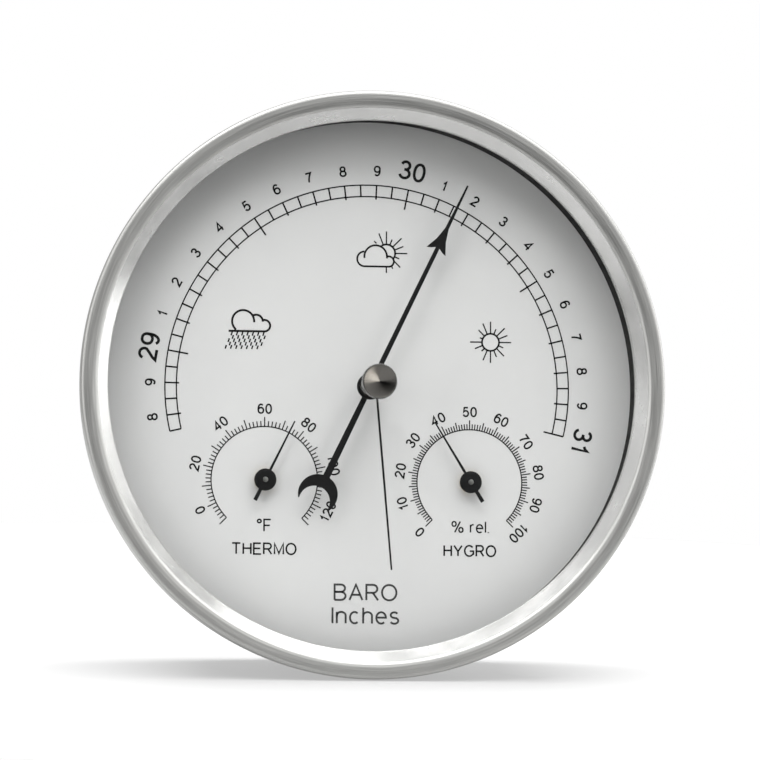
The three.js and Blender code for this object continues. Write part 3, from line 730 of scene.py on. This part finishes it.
def build_knob(materials):
    """A neck that flares to a knurled rim with a dished face, hollow below for its spindle."""
    top = KNOB_TOP_Z
    outline = [
        (0, 48),
        (1.5, 48),
        (1.5, 41.8),
        (2.1, 41.8),
        (2.3, 42),
        (2.3, top - 3.2),
        (2.5, top - 2.9),
        (3.5, top - 2.3),
        (KNOB_R - 0.06, top - 2.1),
        (KNOB_R, top - 1.95),
        (KNOB_R, top - 0.75),
        (KNOB_R - 0.05, top - 0.35),
        (KNOB_R - 0.14, top - 0.12),
        (KNOB_R - 0.24, top - 0.02),
        (KNOB_R - 0.28, top),
        (KNOB_R - 0.34, top - 0.04),
        (0, top - 0.6),
    ]
    shape = turned(outline, TEETH * FACETS_PER_TOOTH, ripple=knurl)
    placed("knurled_knob", *shape, materials["knob"], "set_hand", "dark_chrome", ["setting_knob"], crease=50)


def build_spindle(materials):
    """The set hand's spindle, and what holds it in the glass: bushing, nut and spring washer."""
    brass, chrome = materials["brass"], materials["knob"]
    spindle = turned([(0, 36.3), (1.2, 36.3), (1.2, 47.4), (0.9, 47.7), (0, 47.7)], FINE)
    placed("set_spindle", *spindle, brass, "set_hand", "movement_brass", ["setting_spindle"])
    bush = [(1.5, 37.4), (1.7, 37.4), (1.7, 40.1), (2.55, 40.1)]
    bush += [(2.7, 40.25), (2.7, 40.8), (2.55, 40.9), (1.5, 40.9)]
    placed("glass_bush", *turned(bush, FINE), chrome, "housing", "dark_chrome", ["glass_bushing"])
    nut = turned(softened(ring_outline(2, 2.7, 37.4, 38), 0.05), 6)
    placed("bush_nut", *nut, chrome, "housing", "dark_chrome", ["bushing_nut"], crease=25)
    washer = softened([(1.5, 41.2), (2.6, 41.2), (2.6, 41.35), (2.1, 41.5), (1.5, 41.5)], 0.04)
    placed("spring_disc", *turned(washer, FINE), chrome, "housing", "dark_chrome", ["spring_washer"])


# ------------------------------------------------------------------ dial print


class Print:
    """Ink on the dial, drawn as strokes of an even width."""

    def __init__(self):
        self.points, self.faces = [], []

    def stroke(self, path, width, closed=False):
        """A ribbon along a path of (x, y) points, mitred at its corners."""
        path = [p for i, p in enumerate(path) if i == 0 or math.dist(p, path[i - 1]) > 1e-4]
        if closed and math.dist(path[0], path[-1]) < 1e-3:
            path = path[:-1]
        count = len(path)
        first = len(self.points)
        for i, (x, y) in enumerate(path):
            before = path[i - 1] if i or closed else None
            after = path[(i + 1) % count] if i < count - 1 or closed else None
            side = mitre(before, (x, y), after, width / 2)
            left, right = (x + side[0], y + side[1]), (x - side[0], y - side[1])
            self.points += [(*left, INK_TOP), (*right, INK_TOP), (*right, INK_Z), (*left, INK_Z)]
        for i in range(count if closed else count - 1):
            a, b = first + 4 * i, first + 4 * ((i + 1) % count)
            self.faces += [[a + k, a + (k + 1) % 4, b + (k + 1) % 4, b + k] for k in range(4)]
        if not closed:
            last = first + 4 * (count - 1)
            self.faces += [[first + 3, first + 2, first + 1, first], [last, last + 1, last + 2, last + 3]]

    def tick(self, centre, degrees, start, end, width=LINE):
        self.stroke([polar(start, degrees, centre), polar(end, degrees, centre)], width)

    def text(self, text, middle, height, weight, up=90, width=None):
        """Letters about their middle. up is the direction of their tops, in degrees."""
        glyphs = [GLYPHS[c] for c in text]
        tall = height - weight
        gap = LETTER_GAP + weight / tall
        total = sum(w for w, _ in glyphs) + gap * (len(glyphs) - 1)
        stretch = (width - weight) / (total * tall) if width else FIGURE_STRETCH
        turn = math.radians(up - 90)
        c, s = math.cos(turn), math.sin(turn)
        start = -total / 2
        for wide, strokes in glyphs:
            for path in strokes:
                shifted = [((start + x) * tall * stretch, (y - 0.5) * tall) for x, y in path]
                turned_path = [(middle[0] + c * x - s * y, middle[1] + s * x + c * y) for x, y in shifted]
                closed = len(path) > 3 and math.dist(path[0], path[-1]) < 1e-6
                self.stroke(turned_path, weight, closed)
            start += wide + gap

    def finish(self, name, material):
        return placed(name, self.points, self.faces, material, "housing", None, crease=30)


def mitre(before, point, after, half):
    """The offset from a path's point to its left edge."""
    directions = []
    for a, b in ((before, point), (point, after)):
        if a and b:
            length = math.dist(a, b)
            directions.append(((b[0] - a[0]) / length, (b[1] - a[1]) / length))
    if len(directions) == 1:
        dx, dy = directions[0]
        return (-dy * half, dx * half)
    (ax, ay), (bx, by) = directions
    nx, ny = -(ay + by), ax + bx
    length = math.hypot(nx, ny)
    if length < 1e-6:
        return (-ay * half, ax * half)
    reach = min(2 / length, 2.2) * half
    return (nx / length * reach, ny / length * reach)


def oval(cx, cy, rx, ry, start=0, end=360, power=2.2, steps=28):
    return arc((cx, cy), (rx, ry), start, end, steps, power)


# Each letter is its width and its strokes, for a capital of height 1.
GLYPHS = {
    " ": (0.12, []),
    "0": (0.52, [oval(0.26, 0.5, 0.26, 0.5)]),
    "1": (0.36, [[(0.04, 0.74), (0.17, 0.81), (0.27, 1.0), (0.27, 0)]]),
    "2": (
        0.54,
        [[*oval(0.27, 0.72, 0.25, 0.28, 170, -25, 2, 16), (0.34, 0.42), (0.12, 0.2), (0, 0), (0.54, 0)]],
    ),
    "3": (
        0.52,
        [
            [*oval(0.25, 0.76, 0.22, 0.24, 165, -80, 2, 14), (0.2, 0.525)],
            [(0.2, 0.525), *oval(0.26, 0.265, 0.26, 0.265, 80, -165, 2, 16)],
        ],
    ),
    "4": (0.56, [[(0.42, 0), (0.42, 1), (0.0, 0.3), (0.56, 0.3)]]),
    "5": (0.54, [[(0.49, 1), (0.12, 1), (0.05, 0.5), *oval(0.27, 0.32, 0.26, 0.32, 130, -160, 2, 18)]]),
    "6": (0.52, [[*oval(0.27, 0.5, 0.27, 0.5, 48, 180, 2, 14), (0.0, 0.33)], oval(0.265, 0.31, 0.26, 0.31)]),
    "7": (0.52, [[(0, 1), (0.52, 1), (0.34, 0.66), (0.22, 0.32), (0.17, 0)]]),
    "8": (0.54, [oval(0.27, 0.765, 0.22, 0.235), oval(0.27, 0.265, 0.27, 0.265)]),
    "9": (
        0.52,
        [[*oval(0.25, 0.5, 0.27, 0.5, 228, 360, 2, 14), (0.52, 0.67)], oval(0.255, 0.69, 0.26, 0.31)],
    ),
    "A": (0.68, [[(0, 0), (0.34, 1), (0.68, 0)], [(0.12, 0.34), (0.56, 0.34)]]),
    "B": (
        0.58,
        [
            [(0, 0), (0, 1), *oval(0.33, 0.76, 0.22, 0.24, 90, -90, 2, 12), (0, 0.52)],
            [(0, 0.52), *oval(0.33, 0.26, 0.25, 0.26, 90, -90, 2, 12), (0, 0)],
        ],
    ),
    "E": (0.56, [[(0.56, 1), (0, 1), (0, 0), (0.58, 0)], [(0, 0.52), (0.52, 0.52)]]),
    "F": (0.52, [[(0.52, 1), (0, 1), (0, 0)], [(0, 0.5), (0.45, 0.5)]]),
    "G": (0.74, [[*oval(0.38, 0.5, 0.38, 0.5, 42, 322, 2, 26), (0.74, 0.2), (0.74, 0.48), (0.42, 0.48)]]),
    "H": (0.6, [[(0, 0), (0, 1)], [(0.6, 0), (0.6, 1)], [(0, 0.53), (0.6, 0.53)]]),
    "I": (0.0, [[(0, 0), (0, 1)]]),
    "M": (0.7, [[(0, 0), (0, 1), (0.35, 0.08), (0.7, 1), (0.7, 0)]]),
    "O": (0.76, [oval(0.38, 0.5, 0.38, 0.5, power=2.05)]),
    "R": (
        0.62,
        [
            [(0, 0), (0, 1), *oval(0.36, 0.74, 0.22, 0.26, 90, -90, 2, 12), (0, 0.48)],
            [(0.34, 0.48), (0.62, 0)],
        ],
    ),
    "T": (0.66, [[(0, 1), (0.66, 1)], [(0.33, 1), (0.33, 0)]]),
    "Y": (0.66, [[(0, 1), (0.33, 0.44), (0.66, 1)], [(0.33, 0.44), (0.33, 0)]]),
    "c": (0.42, [oval(0.22, 0.36, 0.22, 0.36, 50, 310, 2, 18)]),
    "e": (0.46, [[(0.02, 0.38), (0.46, 0.38), *oval(0.23, 0.36, 0.23, 0.36, 5, 310, 2, 20)]]),
    "h": (0.42, [[(0, 0), (0, 1)], [(0, 0.42), *oval(0.21, 0.48, 0.21, 0.24, 160, 0, 2, 12), (0.42, 0)]]),
    "l": (0.0, [[(0, 0), (0, 1)]]),
    "n": (0.42, [[(0, 0), (0, 0.72)], [(0, 0.42), *oval(0.21, 0.48, 0.21, 0.24, 160, 0, 2, 12), (0.42, 0)]]),
    "r": (0.24, [[(0, 0), (0, 0.72)], [(0, 0.4), *oval(0.2, 0.46, 0.2, 0.26, 165, 78, 2, 8)]]),
    "s": (
        0.38,
        [
            [
                *oval(0.19, 0.545, 0.17, 0.175, 30, 250, 2, 14),
                *oval(0.19, 0.185, 0.19, 0.185, 70, -155, 2, 14),
            ],
        ],
    ),
    ".": (0.0, [[(0, -0.04), (0, 0.05)]]),
    "%": (0.86, [oval(0.17, 0.77, 0.15, 0.21), oval(0.69, 0.23, 0.15, 0.21), [(0.22, 0), (0.64, 1)]]),
    "°": (0.3, [oval(0.15, 0.86, 0.14, 0.14, power=2)]),
}


def pressure_scale(ink):
    """28.75 to 31.00 inches over the dial's top, a tick for every 0.05. Values are in hundredths."""
    lowest, step, count = 2875, 5, 46
    span = 206.25
    start = 90 + span / 2
    outer, inner = 46, 43.4
    for radius in (outer, inner):
        ink.stroke(arc((0, 0), (radius, radius), start, start - span, 120), LINE)
    for i in range(count):
        value = lowest + step * i
        at = start - span / (count - 1) * i
        reach = inner
        if value % 10 == 0:
            reach -= 0.62
        if value % 50 == 0:
            reach -= 1.4
        ink.tick((0, 0), at, outer, reach, 0.36)
        if value % 100 == 0:
            ink.text(str(value // 100), polar(50.35, at), 4.4, 0.64, at)
        elif value % 10 == 0:
            ink.text(str(value // 10 % 10), polar(49.3, at), 2.45, 0.4, at)


def small_scale(ink, centre, radius, low, high, step, figures, upside_down=()):
    """A scale of three quarters of a turn, with ticks outside its arc and figures outside the ticks."""
    start, span = 225, 270
    degrees = span / (high - low)
    ink.stroke(arc(centre, (radius, radius), start, start - span, 110), SMALL_LINE)
    for value in range(low, high + 1, step):
        length = 1.25
        if value % 10 == 0 or value in (low, high):
            length = 2.15
        elif step == 1 and value % 5 == 0:
            length = 1.9
        ink.tick(centre, start - (value - low) * degrees, radius, radius + length, SMALL_LINE)
    for value in figures:
        at = start - (value - low) * degrees
        up = at + 180 if value in upside_down else at
        ink.text(str(value), polar(radius + 4, at, centre), 2.35, 0.38, up)


def rain_sign(ink, x, y):
    """A cloud on a line with rows of slanted strokes under it."""
    weight = 0.48
    big, middle, small = (x, y), (x + 2.95, y), (x + 4.83, y - 0.94)
    ink.stroke(arc(big, (2.5, 2.5), -5, 225, 30) + [(x - 1.82, y - 2.2)], weight)
    ink.stroke(arc(middle, (1.5, 1.5), 118, 8, 14) + [(middle[0] + 1.5, y - 0.05)], weight)
    ink.stroke(arc(small, (1.3, 1.3), 100, -90, 18) + [(x - 3.3, y - 2.24)], weight)
    for row in range(5):
        top = y - 2.3 - 0.76 * row
        for column in range(7):
            left = x - 2.45 + 1.2 * column - 0.33 * row + 0.6 * (row % 2)
            ink.stroke([(left, top - 0.12), (left - 0.27, top - 0.95)], 0.34)


def fair_sign(ink, x, y):
    """A sun half behind a cloud. Each ray is its direction in degrees, its start and its end."""
    weight = 0.42
    sun = (x + 2.44, y + 0.81)
    ink.stroke(arc(sun, (2, 2), 124, -34, 26), weight)
    rays = [(90, 2, 4.95), (111, 2.1, 4.8), (136, 3.15, 3.9), (67.5, 2, 3.4), (45, 2, 4.9), (22.5, 2, 4.2)]
    rays += [(0, 2, 4.8), (-22.5, 2, 3.2), (-45, 2.3, 4.5), (-67.5, 3.2, 3.8), (-90, 3.2, 4.5)]
    for ray in rays:
        ink.tick(sun, *ray)
    ink.stroke(arc((x, y), (2.58, 2.58), 188, -8, 30), weight)
    left, right = (x - 2.53, y - 0.56), (x + 3, y - 1.06)
    lobe = arc(left, (1.69, 1.68), 92, 270, 20)
    end = arc(right, (1.16, 1.17), -90, 105, 18)
    ink.stroke(lobe + [(right[0], y - 2.24)] + end, weight)


def sun_sign(ink, x, y):
    """A round sun with sixteen uneven rays."""
    radius = 1.95
    ink.stroke(arc((x, y), (radius, radius), 0, 360, 40), 0.4, closed=True)
    ends = [4.75, 4.2, 4.6, 3.25, 4.7, 4.6, 3.9, 2.65, 4.7, 3.9, 2.9, 4.45, 4.7, 3.6, 4.4, 3.2]
    for i, end in enumerate(ends):
        ink.tick((x, y), 22.5 * i, radius, end)


def build_print(materials):
    """Each group of print is a piece of its own. The small scales' middles are where they are printed."""
    black = materials["ink"]
    scale = Print()
    pressure_scale(scale)
    scale.finish("pressure_scale_print", black)
    left, right = (-23.38, -21.14), (23.32, -21.16)
    thermo = Print()
    small_scale(thermo, left, 12.05, -10, 130, 2, range(0, 121, 20), upside_down=(120,))
    thermo.text("°F", (left[0], -31.35), 3, 0.36, width=3.4)
    thermo.text("THERMO", (left[0], -36.6), 2.8, 0.38, width=14.8)
    thermo.finish("thermometer_print", black)
    hygro = Print()
    small_scale(hygro, right, 12, 0, 100, 1, range(0, 101, 10))
    hygro.text("% rel.", (23.5, -31.2), 2.8, 0.34, width=8.7)
    hygro.text("HYGRO", (23.45, -36.6), 2.75, 0.38, width=12.1)
    hygro.finish("hygrometer_print", black)
    words = Print()
    words.text("BARO", (-0.3, -46.2), 3.9, 0.45, width=14.5)
    words.text("Inches", (-0.3, -51.4), 4, 0.45, width=15.4)
    words.finish("unit_words_print", materials["grey_ink"])
    signs = Print()
    rain_sign(signs, -28.39, 14.61)
    fair_sign(signs, 1.7, 29.78)
    sun_sign(signs, 28.07, 10.76)
    signs.finish("weather_signs_print", black)


# ------------------------------------------------------------------ CAD nodes that stay


# The CAD nodes that stay in sight, by finish. Any others are zinc-plated.
FINISHES = {
    "brass": [
        "movement_base",
        "spring_key",
        "chain_arm",
        "shaft_bracket",
        "bridge_pillar",
        "arbor_bridge",
        "arbor_cock",
        "hairspring_stud",
        "thermo_bush",
        "hygro_bush",
    ],
    "nickel": ["capsule_lower", "capsule_upper"],
    "blued": ["main_spring", "hairspring"],
    "bimetal": ["thermo_coil"],
    "strip": ["hygro_coil"],
}


def finish_movement(nodes, materials):
    """Gives each CAD node that is still shown its finish and smooth curves."""
    for name, obj in nodes.items():
        if obj.hide_render:
            continue
        kind = name.rstrip("_0123456789")
        finish = next((key for key, kinds in FINISHES.items() if kind in kinds), "zinc")
        obj.data.materials.clear()
        obj.data.materials.append(materials[finish])
        smoothed(obj.data)


# ------------------------------------------------------------------ stage


# Brightness of the room as the object mirrors it, where 1 is white.
ROOM_SIDE = 1.2
ROOM_AHEAD = 0.03  # in front of the dial
ROOM_REAR = -0.45  # added towards the wall
ROOM_TILT = 0.3  # added to the right, taken off to the left
ROOM_BELOW = 0.3  # the share that is left under the horizon

FLOOR_LEAN = 8.05  # degrees
FLOOR_R = 0.27
FLOOR_SETBACK = 0.12  # from the bezel's foot to the floor's middle
FLOOR_GAP = 0.0001  # keeps it just clear of the bezel
FLOOR_TONE = 0.15
FLOOR_GLOW = 0.42

# Soft lights: name, place, what they face, size in metres, radiance.
SOFTBOXES = [
    ("top_softbox", (0.05, -0.42, 0.8), (0, -0.03, 0), (1.4, 0.6), 4.2),
    ("front_softbox", (-0.3, -0.68, 0.72), (0, -0.03, 0), (1.0, 0.42), 0.5),
    ("right_softbox", (0.95, -0.13, 0.2), (0, -0.03, 0), (0.36, 0.9), 3),
    ("fill_softbox", (-0.75, -0.6, 0.1), (0, -0.03, 0), (0.5, 0.6), 1.6),
]
KNOB_CARD = ("knob_card", (0.36, -0.75, -0.07), (0, -0.05, 0), (0.3, 0.3), 6)
KNOB_FILL = ("knob_fill", (-0.1, -0.79, -0.17), (0, -0.05, 0), (0.6, 0.45), 1.3)
FLOOR_SOFTBOX = ("floor_softbox", (0, 0.12, 0.85), (0, 0, -0.06), (1.2, 0.45), 18)


def build_floor():
    """A faintly glowing round table. It leans, so that the bezel and the case's rear edge rest on it."""
    lean = math.radians(FLOOR_LEAN)
    normal = Vector((0, -math.sin(lean), math.cos(lean)))
    behind = Vector((0, math.cos(lean), math.sin(lean)))
    foot = Vector(to_row(0, -BEZEL_R, BEZEL_WIDEST_Z)) - normal * FLOOR_GAP
    made = Finish("floor_white", Roughness=0.8)
    made.tinted(made.even_noise(3, detail=4), (FLOOR_TONE,) * 3, (FLOOR_TONE * 1.03,) * 3)
    made.shader.inputs["Emission Color"].default_value = (1, 1, 1, 1)
    made.shader.inputs["Emission Strength"].default_value = FLOOR_GLOW
    middle = foot + behind * FLOOR_SETBACK
    bpy.ops.mesh.primitive_circle_add(vertices=128, radius=FLOOR_R, fill_type="NGON", location=middle)
    floor = bpy.context.object
    floor.name = "floor"
    floor.rotation_euler = (lean, 0, 0)
    floor.data.materials.append(made.material)


def area_light(name, place, target, size, radiance, colour=(1, 1, 1)):
    """A rectangular soft light of an even radiance, unseen by the camera itself."""
    data = bpy.data.lights.new(name, "AREA")
    data.shape = "RECTANGLE"
    data.size, data.size_y = size
    data.energy = radiance * math.pi * size[0] * size[1]
    data.color = colour
    light = bpy.data.objects.new(name, data)
    light.location = place
    light.rotation_euler = (Vector(target) - Vector(place)).to_track_quat("-Z", "Y").to_euler()
    light.visible_camera = False
    bpy.context.scene.collection.objects.link(light)
    return light


def light_only(light, name):
    """Lets a light fall on one object only; everything else still blocks it."""
    lit = bpy.data.collections.new(f"lit_by_{light.name}")
    lit.objects.link(bpy.data.objects[name])
    light.light_linking.receiver_collection = lit


def build_world():
    """The room: bright at the sides, dim ahead, below and at the rear, and plain white to the camera.

    Each change runs between two values of a ray's direction along an axis, from -1 to 1."""
    white = (1, 1, 1, 1)
    world = bpy.data.worlds.new("studio")
    world.use_nodes = True
    room = Nodes(world.node_tree)
    split = room.node("SeparateXYZ")
    room.wire(room.node("TexCoord").outputs["Generated"], split.inputs[0])
    right, back, up = split.outputs
    ahead = room.ranged(back, ROOM_AHEAD, ROOM_SIDE, -0.95, -0.78, interpolation_type="SMOOTHSTEP")
    rear = room.ranged(back, 0, ROOM_REAR, -0.1, 0.6)
    around = room.math("MULTIPLY_ADD", right, ROOM_TILT, room.math("ADD", ahead, rear))
    upper = room.ranged(up, ROOM_BELOW, 1, -0.4, 0.1)
    surround = room.tree.nodes["Background"]
    surround.inputs["Color"].default_value = white
    room.wire(room.math("MULTIPLY", around, upper), surround.inputs["Strength"])
    backdrop = room.node("Background")
    backdrop.inputs["Color"].default_value = white
    mixed = room.node("MixShader")
    room.wire(room.node("LightPath").outputs["Is Camera Ray"], mixed.inputs[0])
    room.wire(surround.outputs[0], mixed.inputs[1])
    room.wire(backdrop.outputs[0], mixed.inputs[2])
    room.wire(mixed.outputs[0], room.tree.nodes["World Output"].inputs["Surface"])
    bpy.context.scene.world = world


def build_light():
    """Soft studio light, two cards that only the knob mirrors, and a softbox for the floor alone."""
    build_world()
    for softbox in SOFTBOXES:
        area_light(*softbox)
    light_only(area_light(*KNOB_CARD, colour=(1, 0.97, 0.92)), "knurled_knob")
    light_only(area_light(*KNOB_FILL), "knurled_knob")
    light_only(area_light(*FLOOR_SOFTBOX), "floor")
    bpy.context.scene.view_settings.view_transform = "Standard"


def build_camera():
    """Left of the dial's axis and a little below it, as in a tabletop shot with a long lens."""
    azimuth, elevation, roll = 0.14498, 0.07998, 0.00406  # radians
    distance = 1.19125
    focal_length, film_width = 249.9, 36
    target = Vector((0.0028, -DIAL_Z * MM, 0.0018))
    level = math.cos(elevation)
    forward = Vector((math.sin(azimuth) * level, math.cos(azimuth) * level, math.sin(elevation)))
    right = forward.cross(Vector((0, 0, 1))).normalized()
    up = right.cross(forward)
    c, s = math.cos(roll), math.sin(roll)
    right, up = right * c + up * s, up * c - right * s
    data = bpy.data.cameras.new("camera")
    data.sensor_width = film_width
    data.lens = focal_length
    camera = bpy.data.objects.new("camera", data)
    turn = Matrix((right, up, -forward)).transposed().to_4x4()
    camera.matrix_world = Matrix.Translation(target - forward * distance) @ turn
    bpy.context.scene.collection.objects.link(camera)
    bpy.context.scene.camera = camera


# ------------------------------------------------------------------ the scene


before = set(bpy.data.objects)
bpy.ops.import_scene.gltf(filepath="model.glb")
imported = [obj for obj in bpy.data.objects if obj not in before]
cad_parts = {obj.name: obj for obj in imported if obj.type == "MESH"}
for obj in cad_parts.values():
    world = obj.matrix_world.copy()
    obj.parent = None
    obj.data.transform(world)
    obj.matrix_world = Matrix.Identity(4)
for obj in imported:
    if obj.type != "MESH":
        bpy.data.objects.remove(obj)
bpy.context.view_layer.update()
materials = make_materials()
build_bezel(materials)
build_case(materials)
build_cover(materials)
build_glazing(materials)
build_dial(materials)
build_screws(materials)
black = materials["hand"]
build_pointer(black)
build_set_hand(black)
build_small_hand("thermo", -SUB_X, 63.5, 14.8, black)
build_small_hand("hygro", SUB_X, 121.6, 15.6, black)
build_knob(materials)
build_spindle(materials)
build_print(materials)
finish_movement(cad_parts, materials)
build_floor()
build_light()
build_camera()
